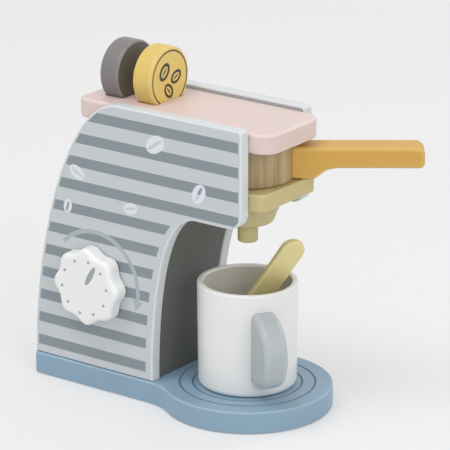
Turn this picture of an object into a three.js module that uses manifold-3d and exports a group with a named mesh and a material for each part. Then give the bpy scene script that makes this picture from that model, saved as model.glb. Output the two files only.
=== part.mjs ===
// Toy coffee maker in painted wood, with a cup, a spoon and two coffee pods.
// Millimetres, +Z up. The origin lies on the underside of the base, below the middle of the cup.
// +X is the front, where the cup stands, and +Y is the left side.
import * as THREE from 'three';
import * as BufferGeometryUtils from 'three/addons/utils/BufferGeometryUtils.js';
import Module from 'manifold-3d';

const wasm = await Module();
wasm.setup();

// Clearances
const seatGap = 0.3;
const overrun = 2;

// Boards and sheets
const baseThickness = 16;
const baseRearReach = 156.5;
const baseHalfWidth = 42;
const baseFrontRadius = 59;
const baseWaveRadius = 40;
const baseCornerRadius = 4;
const baseEdgeRound = 1.6;
const ringRadii = { inner: 37.6, outer: 46.8 };
const ringGroove = { width: 1.4, depth: 0.7 };

const panelThickness = 9;
const panelInnerHalf = 32;
const panelHeight = 193.5;
const panelRearReach = 155;
const panelFrontReach = 24;
const panelEdgeRound = 1.3;
const crownRun = 75;
const crownShares = { swell: 0.434, pull: 0.58 };
const headDepth = 69.5;
const archFootReach = 51.5;
const archRun = 37.5;
const archShares = { swell: 0.435, pull: 0.8 };
const headCornerRadius = { top: 3, bottom: 11 };

const topBoardThickness = 14;
const topBoardDrop = 3;
const topBoardRearReach = 122;
const topBoardFrontReach = 40;
const topBoardCornerRadius = { front: 13, rear: 7 };
const topBoardEdgeRound = 2;

const sheetThickness = 3;
const recessInset = 1;
const rearInset = 1.5;

const shelfThickness = 12;
const shelfFrontReach = 35;
const shelfRearReach = 36;
const shelfCornerRadius = { front: 6, rear: 3 };
const shelfEdgeRound = 1.2;

// Filter holder, its handle and the spout
const holderRadius = 31;
const holderHeight = 27.4;
const holderEdgeRound = 1;
const handleRestAngle = 36;
const handleWidth = 20;
const handleReach = 119;
const handleRootReach = 45;
const handleRootHeight = 22.6;
const handleArmHeight = 15.2;
const handleSlopeRun = 12;
const handleEndRadius = { top: 6, bottom: 3.5 };
const handleEdgeRound = 2.8;
const handleDowel = { radius: 4, length: 28 };

const funnelMouthRadius = 25;
const funnelNeckRadius = 18;
const funnelHeight = 19;
const spoutRadius = 7;
const spoutLength = 14.5;
const funnelEdgeRound = 2;
const pivotRadius = 5;
const pivotFunnelDepth = 10;
const pivotBoardDepth = 8;

// Knob on the right side
const knobCentre = { behind: 100.5, above: 62.3 };
const knobRadius = 26.5;
const knobLobeDepth = 1.5;
const knobLobes = 8;
const knobThickness = 12;
const knobEdgeRound = 3;
const knobBoltRadius = 3;
const knobBoltDepth = 8;
const knobWasher = { radius: 8, thickness: 1.6 };
const knobNut = { acrossFlats: 10, thickness: 5 };
const knobRunGap = 0.6;

// Cup, spoon and pods
const cupRadius = { rim: 34.8, foot: 34 };
const cupHeight = 74;
const cupWall = 4.4;
const cupFloor = 8;
const cupFootRound = 3.4;
const cupRimRound = 1.4;
const cupInnerRound = 5;
const cupHandleAngle = -36;
const cupHandleThickness = 17;
const cupHandleHeight = 52.4;
const cupHandleReach = 30.5;
const cupHandleDrop = 12;
const cupHandleRootReach = 5;
const cupHandleBowShare = 0.75;
const cupHandleEdgeRound = 4.4;

const spoonLength = 113;
const spoonWidth = 17;
const spoonThickness = 5.5;
const spoonEdgeRound = 1.2;
const spoonTilt = 32.5;
const spoonHeading = 18;
const spoonTwist = 128;
const spoonFoot = { behind: 24.4, right: 6.2, above: 1.8 };

const podRadius = 22;
const podThickness = 15.6;
const podEdgeRound = 2;
const podSlotDepth = 6.5;
const podSlotGap = 0.4;
const podPitch = 28.3;
const frontPodReach = 66;

// Dowels and screws
const dowelRadius = 4;
const dowelPanelDepth = 6;
const dowelBoardDepth = 10;
const boardDowelReaches = [50, -8];
const shelfDowelReaches = [22, -14];
const screwReaches = [135, 72];
const screw = { radius: 2, headRadius: 4.2, headDepth: 2.6, sink: 0.6, bite: 22, tip: 5 };

// Fineness of curves
const curveSteps = 9;
const roundSteps = 2;
const roundTurns = 4;
const fineTurns = 40;
const smallTurns = 12;

// Heights that several pieces share
const panelFootZ = baseThickness + seatGap;
const panelTopZ = baseThickness + panelHeight;
const headBottomZ = panelTopZ - headDepth;
const topBoardTopZ = panelTopZ - topBoardDrop;
const topBoardBottomZ = topBoardTopZ - topBoardThickness;
const holderTopZ = topBoardBottomZ - seatGap;
const holderBottomZ = holderTopZ - holderHeight;
const shelfTopZ = holderBottomZ - seatGap;
const shelfBottomZ = shelfTopZ - shelfThickness;
const funnelTopZ = shelfBottomZ - seatGap;
const funnelBottomZ = funnelTopZ - funnelHeight;
const cupFootZ = baseThickness + seatGap;
const panelMidY = panelInnerHalf + panelThickness / 2;
const innerHalf = panelInnerHalf - seatGap;

const colours = {
  blue: { color: 0x7fa8c6, roughness: 0.45, metalness: 0 },
  stripe: { color: 0xc2cacd, roughness: 0.5, metalness: 0 },
  pink: { color: 0xe8d0cd, roughness: 0.45, metalness: 0 },
  slate: { color: 0x4d4d4c, roughness: 0.6, metalness: 0 },
  olive: { color: 0xbcb27c, roughness: 0.5, metalness: 0 },
  wood: { color: 0xbfa77e, roughness: 0.65, metalness: 0 },
  orange: { color: 0xd29c4c, roughness: 0.45, metalness: 0 },
  white: { color: 0xf0f0ee, roughness: 0.4, metalness: 0 },
  cupGrey: { color: 0xaab2b7, roughness: 0.45, metalness: 0 },
  podGrey: { color: 0x6e6966, roughness: 0.5, metalness: 0 },
  podYellow: { color: 0xe4c76a, roughness: 0.45, metalness: 0 },
  steel: { color: 0xb9bcc0, roughness: 0.3, metalness: 1 },
};

const part = new THREE.Group();

function addMesh(name, geometry, colour, parent = part) {
  const mesh = new THREE.Mesh(geometry, new THREE.MeshStandardMaterial(colours[colour]));
  mesh.name = name;
  parent.add(mesh);
  return mesh;
}

// Booleans work on merged triangles and give a plain geometry back
function toSolid(geometry) {
  const bare = geometry.clone();
  bare.deleteAttribute('normal');
  bare.deleteAttribute('uv');
  const merged = BufferGeometryUtils.mergeVertices(bare);
  return new wasm.Manifold(new wasm.Mesh({
    numProp: 3,
    vertProperties: new Float32Array(merged.attributes.position.array),
    triVerts: new Uint32Array(merged.index.array),
  }));
}

function toGeometry(solid) {
  const mesh = solid.getMesh();
  const geometry = new THREE.BufferGeometry();
  geometry.setAttribute('position', new THREE.BufferAttribute(new Float32Array(mesh.vertProperties), 3));
  geometry.setIndex(new THREE.BufferAttribute(new Uint32Array(mesh.triVerts), 1));
  return geometry;
}

function cut(geometry, tools) {
  let solid = toSolid(geometry);
  for (const tool of tools) solid = solid.subtract(toSolid(tool));
  return toGeometry(solid);
}

// A board with eased edges, its underside at z = 0
function board(outline, thickness, edgeRound, steps = curveSteps) {
  const geometry = new THREE.ExtrudeGeometry(outline, {
    depth: thickness - 2 * edgeRound,
    curveSegments: steps,
    bevelEnabled: edgeRound > 0,
    bevelThickness: edgeRound,
    bevelSize: edgeRound,
    bevelOffset: -edgeRound,
    bevelSegments: roundSteps,
  });
  return geometry.translate(0, 0, edgeRound);
}

// The same board stood on edge: the outline's second axis points up and one face lies at y = 0
function uprightBoard(outline, thickness, edgeRound, steps = curveSteps) {
  return board(outline, thickness, edgeRound, steps).rotateX(Math.PI / 2).translate(0, thickness, 0);
}

// A turned piece from its profile of radius and height, standing on +Z
function turned(profile, turns = fineTurns) {
  return new THREE.LatheGeometry(profile, turns).rotateX(Math.PI / 2);
}

function dowelTool(radius, length, turns = smallTurns) {
  return new THREE.CylinderGeometry(radius, radius, length, turns);
}

// Profile points of a quarter round between two directions
function quarterRound(centreX, centreY, radius, fromAngle, toAngle, steps = roundSteps + 1) {
  const points = [];
  for (let step = 0; step <= steps; step++) {
    const angle = THREE.MathUtils.degToRad(fromAngle + ((toAngle - fromAngle) * step) / steps);
    points.push(new THREE.Vector2(centreX + radius * Math.cos(angle), centreY + radius * Math.sin(angle)));
  }
  return points;
}

// Base: a straight rear part that flows in a wave into a round front
function baseOutline() {
  const waveCentreX = -Math.sqrt(
    (baseFrontRadius + baseWaveRadius) ** 2 - (baseHalfWidth + baseWaveRadius) ** 2,
  );
  const waveCentreY = baseHalfWidth + baseWaveRadius;
  const meetAngle = Math.atan2(waveCentreY, waveCentreX);
  const outline = new THREE.Shape();
  outline.moveTo(-baseRearReach + baseCornerRadius, -baseHalfWidth);
  outline.lineTo(waveCentreX, -baseHalfWidth);
  outline.absarc(waveCentreX, -waveCentreY, baseWaveRadius, Math.PI / 2, Math.PI - meetAngle, true);
  outline.absarc(0, 0, baseFrontRadius, -meetAngle, 0, false);
  outline.absarc(0, 0, baseFrontRadius, 0, meetAngle, false);
  outline.absarc(waveCentreX, waveCentreY, baseWaveRadius, meetAngle - Math.PI, -Math.PI / 2, true);
  outline.lineTo(-baseRearReach + baseCornerRadius, baseHalfWidth);
  outline.absarc(-baseRearReach + baseCornerRadius, baseHalfWidth - baseCornerRadius,
    baseCornerRadius, Math.PI / 2, Math.PI, false);
  outline.absarc(-baseRearReach + baseCornerRadius, -baseHalfWidth + baseCornerRadius,
    baseCornerRadius, Math.PI, 1.5 * Math.PI, false);
  return outline;
}

function ringTool(radius) {
  const half = ringGroove.width / 2;
  const bottom = new THREE.Vector2(radius, baseThickness - ringGroove.depth);
  return turned([
    bottom,
    new THREE.Vector2(radius + half, baseThickness),
    new THREE.Vector2(radius + half, baseThickness + overrun),
    new THREE.Vector2(radius - half, baseThickness + overrun),
    new THREE.Vector2(radius - half, baseThickness),
    bottom,
  ]);
}

const screwLength = baseThickness - screw.sink + screw.bite;
const screwPlaces = screwReaches.flatMap((reach) => [-1, 1].map((side) => ({ reach, side })));

function screwProfile(grow) {
  const head = screw.sink + screw.headDepth;
  return [
    new THREE.Vector2(0, screw.sink - grow * overrun),
    new THREE.Vector2(screw.headRadius + grow * seatGap, screw.sink - grow * overrun),
    new THREE.Vector2(screw.headRadius + grow * seatGap, screw.sink + grow * seatGap),
    new THREE.Vector2(screw.radius + grow * seatGap, head + grow * seatGap),
    new THREE.Vector2(screw.radius + grow * seatGap, screwLength - screw.tip + grow * seatGap),
    new THREE.Vector2(0, screwLength + grow * seatGap),
  ];
}

function screwAt(place, grow) {
  const points = screwProfile(grow).filter((point, index, all) => index === 0 || !point.equals(all[index - 1]));
  return turned(points, smallTurns).translate(-place.reach, place.side * panelMidY, 0);
}

function makeBase() {
  const tools = [
    ringTool(ringRadii.inner),
    ringTool(ringRadii.outer),
    ...screwPlaces.map((place) => screwAt(place, 1)),
  ];
  addMesh('base_board', cut(board(baseOutline(), baseThickness, baseEdgeRound), tools), 'blue');
  for (const place of screwPlaces) {
    const sideName = place.side < 0 ? 'right' : 'left';
    const endName = place.reach === screwReaches[0] ? 'rear' : 'front';
    addMesh(`base_screw_${sideName}_${endName}`, screwAt(place, 0), 'steel');
  }
}

// Curves that the panels share with the bent sheets between them
const rearCurve = new THREE.CubicBezierCurve(
  new THREE.Vector2(-panelRearReach, baseThickness),
  new THREE.Vector2(-panelRearReach, baseThickness + panelHeight * crownShares.swell),
  new THREE.Vector2(-panelRearReach + crownRun * (1 - crownShares.pull), panelTopZ),
  new THREE.Vector2(-panelRearReach + crownRun, panelTopZ),
);
const archCurve = new THREE.CubicBezierCurve(
  new THREE.Vector2(-archFootReach, baseThickness),
  new THREE.Vector2(-archFootReach, baseThickness + (headBottomZ - baseThickness) * archShares.swell),
  new THREE.Vector2(-archFootReach + archRun * (1 - archShares.pull), headBottomZ),
  new THREE.Vector2(-archFootReach + archRun, headBottomZ),
);

function panelOutline() {
  const frontTopX = panelFrontReach - headCornerRadius.top;
  const frontBottomX = panelFrontReach - headCornerRadius.bottom;
  const outline = new THREE.Shape();
  outline.moveTo(-archFootReach, panelFootZ);
  outline.bezierCurveTo(archCurve.v1.x, archCurve.v1.y, archCurve.v2.x, archCurve.v2.y,
    archCurve.v3.x, archCurve.v3.y);
  outline.lineTo(frontBottomX, headBottomZ);
  outline.absarc(frontBottomX, headBottomZ + headCornerRadius.bottom, headCornerRadius.bottom,
    -Math.PI / 2, 0, false);
  outline.lineTo(panelFrontReach, panelTopZ - headCornerRadius.top);
  outline.absarc(frontTopX, panelTopZ - headCornerRadius.top, headCornerRadius.top, 0, Math.PI / 2, false);
  outline.lineTo(rearCurve.v3.x, rearCurve.v3.y);
  outline.bezierCurveTo(rearCurve.v2.x, rearCurve.v2.y, rearCurve.v1.x, rearCurve.v1.y,
    rearCurve.v0.x, panelFootZ);
  return outline;
}

// Blind dowels between a panel and the boards that it carries
const boardDowelZ = topBoardBottomZ + topBoardThickness / 2;
const shelfDowelZ = shelfBottomZ + shelfThickness / 2;
const sideDowels = [-1, 1].flatMap((side) => [
  ...boardDowelReaches.map((reach, index) => ({ side, reach, z: boardDowelZ, name: 'board_dowel', index })),
  ...shelfDowelReaches.map((reach, index) => ({ side, reach, z: shelfDowelZ, name: 'shelf_dowel', index })),
]);

function sideDowelAt(dowel, grow) {
  const innerEnd = panelInnerHalf - dowelBoardDepth - grow * seatGap;
  const outerEnd = panelInnerHalf + dowelPanelDepth + grow * seatGap;
  return dowelTool(dowelRadius + grow * seatGap, outerEnd - innerEnd)
    .translate(-dowel.reach, (dowel.side * (innerEnd + outerEnd)) / 2, dowel.z);
}

const knobAxis = { x: -knobCentre.behind, z: baseThickness + knobCentre.above };

function makePanels() {
  for (const side of [-1, 1]) {
    const inner = side < 0 ? -panelInnerHalf - panelThickness : panelInnerHalf;
    const geometry = uprightBoard(panelOutline(), panelThickness, panelEdgeRound).translate(0, inner, 0);
    const tools = [
      ...sideDowels.filter((dowel) => dowel.side === side).map((dowel) => sideDowelAt(dowel, 1)),
      ...screwPlaces.filter((place) => place.side === side).map((place) => screwAt(place, 1)),
    ];
    if (side < 0) {
      tools.push(dowelTool(knobBoltRadius + seatGap, panelThickness + 2 * overrun)
        .translate(knobAxis.x, -panelMidY, knobAxis.z));
    }
    addMesh(side < 0 ? 'panel_right' : 'panel_left', cut(geometry, tools), 'stripe');
  }
  for (const dowel of sideDowels) {
    const sideName = dowel.side < 0 ? 'right' : 'left';
    const endName = dowel.index === 0 ? 'rear' : 'front';
    addMesh(`${dowel.name}_${sideName}_${endName}`, sideDowelAt(dowel, 0), 'wood');
  }
}

// A bent sheet that follows a curve of the panels, thickened towards one side
function sheetOutline(curve, inset, towards) {
  const near = [];
  const far = [];
  for (let step = 0; step <= 2 * curveSteps; step++) {
    const share = step / (2 * curveSteps);
    const point = curve.getPoint(share);
    const tangent = curve.getTangent(share);
    const normal = new THREE.Vector2(-tangent.y * towards, tangent.x * towards);
    near.push(point.clone().addScaledVector(normal, inset));
    far.push(point.clone().addScaledVector(normal, inset + sheetThickness));
  }
  return new THREE.Shape([...near, ...far.reverse()]);
}

function bentSheet(curve, inset, towards, limits) {
  const sheet = uprightBoard(sheetOutline(curve, inset, towards), 2 * innerHalf, 0).translate(0, -innerHalf, 0);
  const length = limits.toX - limits.fromX;
  const height = limits.toZ - limits.fromZ;
  const room = new THREE.BoxGeometry(length, 2 * panelInnerHalf, height)
    .translate(limits.fromX + length / 2, 0, limits.fromZ + height / 2);
  return toGeometry(toSolid(sheet).intersect(toSolid(room)));
}

function makeSheets() {
  addMesh('recess_sheet', bentSheet(archCurve, recessInset, 1, {
    fromX: -panelRearReach,
    toX: -funnelMouthRadius,
    fromZ: panelFootZ,
    toZ: shelfBottomZ - seatGap,
  }), 'slate');
  addMesh('rear_sheet', bentSheet(rearCurve, rearInset, -1, {
    fromX: -panelRearReach,
    toX: -archFootReach,
    fromZ: panelFootZ,
    toZ: topBoardBottomZ - seatGap,
  }), 'slate');
}

// Top board between the panels, with a slot for each pod
const podCentreZ = topBoardTopZ - podSlotDepth + podRadius;
const pods = [
  { name: 'pod_grey', colour: 'podGrey', faceX: -frontPodReach - podPitch },
  { name: 'pod_yellow', colour: 'podYellow', faceX: -frontPodReach },
];

function podGeometry(pod, grow) {
  const radius = podRadius + grow * podSlotGap;
  const half = podThickness / 2 + grow * podSlotGap;
  return turned([
    new THREE.Vector2(0, -half),
    ...quarterRound(radius - podEdgeRound, -half + podEdgeRound, podEdgeRound, -90, 0),
    ...quarterRound(radius - podEdgeRound, half - podEdgeRound, podEdgeRound, 0, 90),
    new THREE.Vector2(0, half),
  ]).rotateY(Math.PI / 2).translate(pod.faceX - podThickness / 2, 0, podCentreZ);
}

function roundedBoardOutline(rearX, frontX, halfWidth, rearRadius, frontRadius) {
  const outline = new THREE.Shape();
  outline.moveTo(rearX + rearRadius, -halfWidth);
  outline.lineTo(frontX - frontRadius, -halfWidth);
  outline.absarc(frontX - frontRadius, -halfWidth + frontRadius, frontRadius, -Math.PI / 2, 0, false);
  outline.lineTo(frontX, halfWidth - frontRadius);
  outline.absarc(frontX - frontRadius, halfWidth - frontRadius, frontRadius, 0, Math.PI / 2, false);
  outline.lineTo(rearX + rearRadius, halfWidth);
  outline.absarc(rearX + rearRadius, halfWidth - rearRadius, rearRadius, Math.PI / 2, Math.PI, false);
  outline.lineTo(rearX, -halfWidth + rearRadius);
  outline.absarc(rearX + rearRadius, -halfWidth + rearRadius, rearRadius, Math.PI, 1.5 * Math.PI, false);
  return outline;
}

const pivotBottomZ = funnelTopZ - pivotFunnelDepth;
const pivotTopZ = topBoardBottomZ + pivotBoardDepth;

function pivotTool(grow) {
  return dowelTool(pivotRadius + grow * seatGap, pivotTopZ - pivotBottomZ + 2 * grow * seatGap)
    .rotateX(Math.PI / 2).translate(0, 0, (pivotTopZ + pivotBottomZ) / 2);
}

function makeBoards() {
  const topOutline = roundedBoardOutline(-topBoardRearReach, topBoardFrontReach, innerHalf,
    topBoardCornerRadius.rear, topBoardCornerRadius.front);
  const topGeometry = board(topOutline, topBoardThickness, topBoardEdgeRound).translate(0, 0, topBoardBottomZ);
  addMesh('top_board', cut(topGeometry, [
    ...pods.map((pod) => podGeometry(pod, 1)),
    ...sideDowels.filter((dowel) => dowel.name === 'board_dowel').map((dowel) => sideDowelAt(dowel, 1)),
    pivotTool(1),
  ]), 'pink');

  const shelfOutline = roundedBoardOutline(-shelfRearReach, shelfFrontReach, innerHalf,
    shelfCornerRadius.rear, shelfCornerRadius.front);
  const shelfGeometry = board(shelfOutline, shelfThickness, shelfEdgeRound).translate(0, 0, shelfBottomZ);
  addMesh('brew_shelf', cut(shelfGeometry, [
    ...sideDowels.filter((dowel) => dowel.name === 'shelf_dowel').map((dowel) => sideDowelAt(dowel, 1)),
    pivotTool(1),
  ]), 'olive');
}

// Turned funnel with its spout, pinned under the shelf
function makeFunnel() {
  const spoutEndZ = funnelBottomZ - spoutLength;
  const profile = [
    new THREE.Vector2(0, spoutEndZ),
    ...quarterRound(spoutRadius - funnelEdgeRound / 2, spoutEndZ + funnelEdgeRound / 2, funnelEdgeRound / 2, -90, 0),
    new THREE.Vector2(spoutRadius, funnelBottomZ),
    ...quarterRound(funnelNeckRadius - funnelEdgeRound, funnelBottomZ + funnelEdgeRound, funnelEdgeRound, -90, -18),
    new THREE.Vector2(funnelMouthRadius, funnelTopZ),
    new THREE.Vector2(0, funnelTopZ),
  ];
  addMesh('spout_funnel', cut(turned(profile), [pivotTool(1)]), 'olive');
  addMesh('pivot_dowel', pivotTool(0), 'wood');
}

// Filter holder with its handle, turned about the pivot to where it stands at rest
function handleOutline() {
  const rootBottom = 0;
  const rootTop = handleRootHeight;
  const armBottom = rootTop - handleArmHeight;
  const slopeEnd = handleRootReach + handleSlopeRun;
  const inside = holderRadius / 2;
  const outline = new THREE.Shape();
  outline.moveTo(inside, rootBottom);
  outline.lineTo(handleRootReach, rootBottom);
  outline.bezierCurveTo(
    handleRootReach + handleSlopeRun / 2, (rootBottom + armBottom) / 2,
    slopeEnd - handleSlopeRun / 2, armBottom,
    slopeEnd + handleSlopeRun / 2, armBottom,
  );
  outline.lineTo(handleReach - handleEndRadius.bottom, armBottom);
  outline.absarc(handleReach - handleEndRadius.bottom, armBottom + handleEndRadius.bottom,
    handleEndRadius.bottom, -Math.PI / 2, 0, false);
  outline.lineTo(handleReach, rootTop - handleEndRadius.top);
  outline.absarc(handleReach - handleEndRadius.top, rootTop - handleEndRadius.top,
    handleEndRadius.top, 0, Math.PI / 2, false);
  outline.lineTo(inside, rootTop);
  return outline;
}

function holderGeometry(grow) {
  const radius = holderRadius + grow * seatGap;
  const bottom = holderBottomZ - grow * overrun;
  const top = holderTopZ + grow * overrun;
  const round = holderEdgeRound;
  return turned([
    new THREE.Vector2(0, bottom),
    ...quarterRound(radius - round, bottom + round, round, -90, 0),
    ...quarterRound(radius - round, top - round, round, 0, 90),
    new THREE.Vector2(0, top),
  ]);
}

function makeFilter() {
  const filter = new THREE.Group();
  filter.rotation.z = THREE.MathUtils.degToRad(handleRestAngle);
  part.add(filter);

  const dowelZ = holderBottomZ + handleRootHeight / 2;
  const dowelMiddle = holderRadius;
  const dowelAt = (grow) => dowelTool(handleDowel.radius + grow * seatGap, handleDowel.length + 2 * grow * seatGap)
    .rotateZ(Math.PI / 2).translate(dowelMiddle, 0, dowelZ);

  addMesh('filter_holder', cut(holderGeometry(0), [pivotTool(1), dowelAt(1)]), 'wood', filter);
  const handle = uprightBoard(handleOutline(), handleWidth, handleEdgeRound)
    .translate(0, -handleWidth / 2, holderBottomZ + seatGap);
  addMesh('filter_handle', cut(handle, [holderGeometry(1), dowelAt(1)]), 'orange', filter);
  addMesh('handle_dowel', dowelAt(0), 'wood', filter);
}

// Knob with its bolt, washer and nut, through the right panel
function makeKnob() {
  const outline = new THREE.Shape(Array.from({ length: fineTurns + 2 * knobLobes }, (unused, index) => {
    const angle = (2 * Math.PI * index) / (fineTurns + 2 * knobLobes);
    const radius = knobRadius + knobLobeDepth * Math.cos(knobLobes * angle);
    return new THREE.Vector2(radius * Math.cos(angle), radius * Math.sin(angle));
  }));
  const panelOuterY = -panelInnerHalf - panelThickness;
  const knobInnerY = panelOuterY - knobRunGap;
  const boltStartY = knobInnerY - knobBoltDepth;
  const washerY = -panelInnerHalf + knobRunGap;
  const nutY = washerY + knobWasher.thickness + seatGap;
  const boltEndY = nutY + knobNut.thickness + seatGap;
  const alongBolt = (radius, fromY, toY, turns = smallTurns) =>
    dowelTool(radius, toY - fromY, turns).translate(knobAxis.x, (fromY + toY) / 2, knobAxis.z);

  const knob = uprightBoard(outline, knobThickness, knobEdgeRound)
    .translate(knobAxis.x, knobInnerY - knobThickness, knobAxis.z);
  const boltTool = alongBolt(knobBoltRadius + seatGap, boltStartY - seatGap, boltEndY + overrun);
  addMesh('knob', cut(knob, [boltTool]), 'white');
  addMesh('knob_bolt', alongBolt(knobBoltRadius, boltStartY, boltEndY), 'steel');
  const washer = alongBolt(knobWasher.radius, washerY, washerY + knobWasher.thickness);
  addMesh('knob_washer', cut(washer, [boltTool]), 'steel');
  const nut = alongBolt(knobNut.acrossFlats / 2 / Math.cos(Math.PI / 6), nutY, nutY + knobNut.thickness, 6);
  addMesh('knob_nut', cut(nut, [boltTool]), 'steel');
}

// Cup with its solid handle
function cupProfile() {
  const rimZ = cupFootZ + cupHeight;
  const innerFootRadius = cupRadius.foot - cupWall;
  const innerRimRadius = cupRadius.rim - cupWall;
  const floorZ = cupFootZ + cupFloor;
  return [
    new THREE.Vector2(0, cupFootZ),
    ...quarterRound(cupRadius.foot - cupFootRound, cupFootZ + cupFootRound, cupFootRound, -90, 0, roundTurns),
    ...quarterRound(cupRadius.rim - cupRimRound, rimZ - cupRimRound, cupRimRound, 0, 90),
    ...quarterRound(innerRimRadius + cupRimRound, rimZ - cupRimRound, cupRimRound, 90, 180),
    ...quarterRound(innerFootRadius - cupInnerRound, floorZ + cupInnerRound, cupInnerRound, 0, -90, roundTurns),
    new THREE.Vector2(0, floorZ),
  ];
}

function makeCup() {
  addMesh('cup', turned(cupProfile()), 'white');

  const reach = cupHandleRootReach + cupHandleReach / cupHandleBowShare;
  const outline = new THREE.Shape();
  outline.moveTo(0, 0);
  outline.lineTo(cupHandleRootReach, 0);
  outline.bezierCurveTo(reach, 0, reach, cupHandleHeight, cupHandleRootReach, cupHandleHeight);
  outline.lineTo(0, cupHandleHeight);
  const handleBottomZ = cupFootZ + cupHeight - cupHandleDrop - cupHandleHeight;
  const blank = uprightBoard(outline, cupHandleThickness, cupHandleEdgeRound)
    .translate(cupRadius.foot - cupHandleRootReach, -cupHandleThickness / 2, handleBottomZ);
  const cupSpace = turned([
    new THREE.Vector2(0, cupFootZ - overrun),
    new THREE.Vector2(cupRadius.foot + seatGap, cupFootZ - overrun),
    new THREE.Vector2(cupRadius.rim + seatGap, cupFootZ + cupHeight + overrun),
    new THREE.Vector2(0, cupFootZ + cupHeight + overrun),
  ]);
  const handle = addMesh('cup_handle', cut(blank, [cupSpace]), 'cupGrey');
  handle.rotation.z = THREE.MathUtils.degToRad(cupHandleAngle);
}

// Flat wooden spoon that stands in the cup and leans on its rim
function makeSpoon() {
  const radius = spoonWidth / 2;
  const outline = new THREE.Shape();
  outline.moveTo(radius, radius);
  outline.lineTo(radius, spoonLength - radius);
  outline.absarc(0, spoonLength - radius, radius, 0, Math.PI, false);
  outline.lineTo(-radius, radius);
  outline.absarc(0, radius, radius, Math.PI, 2 * Math.PI, false);
  const blade = uprightBoard(outline, spoonThickness, spoonEdgeRound).translate(0, -spoonThickness / 2, 0);

  const spoon = new THREE.Group();
  spoon.position.set(-spoonFoot.behind, -spoonFoot.right, cupFootZ + cupFloor + spoonFoot.above);
  spoon.rotation.order = 'ZYX';
  spoon.rotation.z = THREE.MathUtils.degToRad(spoonHeading);
  spoon.rotation.y = THREE.MathUtils.degToRad(spoonTilt);
  part.add(spoon);
  const mesh = addMesh('spoon', blade, 'olive', spoon);
  mesh.rotation.z = THREE.MathUtils.degToRad(90 + spoonTwist);
}

function makePods() {
  for (const pod of pods) addMesh(pod.name, podGeometry(pod, 0), pod.colour);
}

makeBase();
makePanels();
makeSheets();
makeBoards();
makeFunnel();
makeFilter();
makeKnob();
makeCup();
makeSpoon();
makePods();

export default part;
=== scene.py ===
# Toy coffee maker in painted wood: smooth pieces, paint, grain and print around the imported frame
import math
from functools import reduce

import bmesh
import bpy
from mathutils import Matrix, Vector
from mathutils.geometry import interpolate_bezier

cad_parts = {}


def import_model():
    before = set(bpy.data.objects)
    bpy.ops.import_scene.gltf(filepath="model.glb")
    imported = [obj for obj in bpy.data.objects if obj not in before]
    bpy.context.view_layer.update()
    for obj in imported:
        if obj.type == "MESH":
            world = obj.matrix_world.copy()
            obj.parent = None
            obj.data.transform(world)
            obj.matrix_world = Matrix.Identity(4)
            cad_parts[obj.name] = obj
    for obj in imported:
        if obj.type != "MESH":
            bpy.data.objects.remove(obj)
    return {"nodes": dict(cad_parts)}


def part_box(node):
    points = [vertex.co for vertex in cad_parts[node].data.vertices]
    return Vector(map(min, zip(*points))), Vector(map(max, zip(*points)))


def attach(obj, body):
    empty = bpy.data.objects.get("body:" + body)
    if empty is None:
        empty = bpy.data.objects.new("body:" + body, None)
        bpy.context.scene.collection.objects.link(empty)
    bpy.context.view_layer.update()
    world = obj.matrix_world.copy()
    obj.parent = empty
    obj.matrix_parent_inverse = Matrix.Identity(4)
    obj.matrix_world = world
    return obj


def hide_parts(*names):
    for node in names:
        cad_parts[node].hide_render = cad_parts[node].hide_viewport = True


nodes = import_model()["nodes"]
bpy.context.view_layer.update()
origin = Vector((0, 0, 0))
xAxis, yAxis, zAxis = Vector((1, 0, 0)), Vector((0, 1, 0)), Vector((0, 0, 1))
hair = 1e-5  # places closer than this count as one
capCorners = 8  # a face with more corners than this is the flat of a board
print("frame loaded:", len(nodes), "nodes")


def middleOf(node):
    low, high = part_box(node)
    return (low + high) / 2


# Shader helpers

def setInputs(tree, node, inputs):
    # A socket is linked to the input, and any other value is set on it
    for name, value in inputs.items():
        if isinstance(value, bpy.types.NodeSocket):
            tree.links.new(value, node.inputs[name])
        else:
            node.inputs[name].default_value = value


def addNode(tree, kind, inputs=None, **settings):
    made = tree.nodes.new("ShaderNode" + kind)
    for name, value in settings.items():
        setattr(made, name, value)
    setInputs(tree, made, inputs or {})
    return made


def calc(tree, operation, *values, clamp=False):
    return addNode(tree, "Math", dict(enumerate(values)), operation=operation, use_clamp=clamp).outputs[0]


def calcAll(tree, operation, values):
    return reduce(lambda first, second: calc(tree, operation, first, second), values)


def mixColour(tree, share, under, over):
    inputs = {"Factor": share, 6: under, 7: over}
    return addNode(tree, "Mix", inputs, data_type="RGBA", clamp_factor=True).outputs[2]


def ramp(tree, value, start, end, first=0.0, last=1.0):
    # Runs evenly from the first result to the last while the value goes from start to end
    inputs = {"Value": value, "From Min": start, "From Max": end, "To Min": first, "To Max": last}
    return addNode(tree, "MapRange", inputs, clamp=True).outputs[0]


def noise(tree, place, scale, detail, roughness=0.5, distortion=0.0):
    inputs = {"Vector": place, "Scale": scale, "Detail": detail, "Roughness": roughness,
              "Distortion": distortion}
    return addNode(tree, "TexNoise", inputs).outputs["Fac"]


def wander(tree, value, share):
    # Turns a noise about a half into one about nothing, as strong as its share
    return calc(tree, "MULTIPLY", calc(tree, "SUBTRACT", value, 0.5), share)


def stretch(tree, place, scale):
    return addNode(tree, "VectorMath", {0: place, 1: scale}, operation="MULTIPLY").outputs["Vector"]


def distance(tree, offU, offV):
    squares = [calc(tree, "MULTIPLY", off, off) for off in (offU, offV)]
    return calc(tree, "SQRT", calc(tree, "ADD", *squares))


def objectPlace(tree):
    return addNode(tree, "TexCoord").outputs["Object"]


def objectAxes(tree, letters):
    parts = addNode(tree, "SeparateXYZ", {0: objectPlace(tree)}).outputs
    return [parts[letter] for letter in letters]


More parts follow.
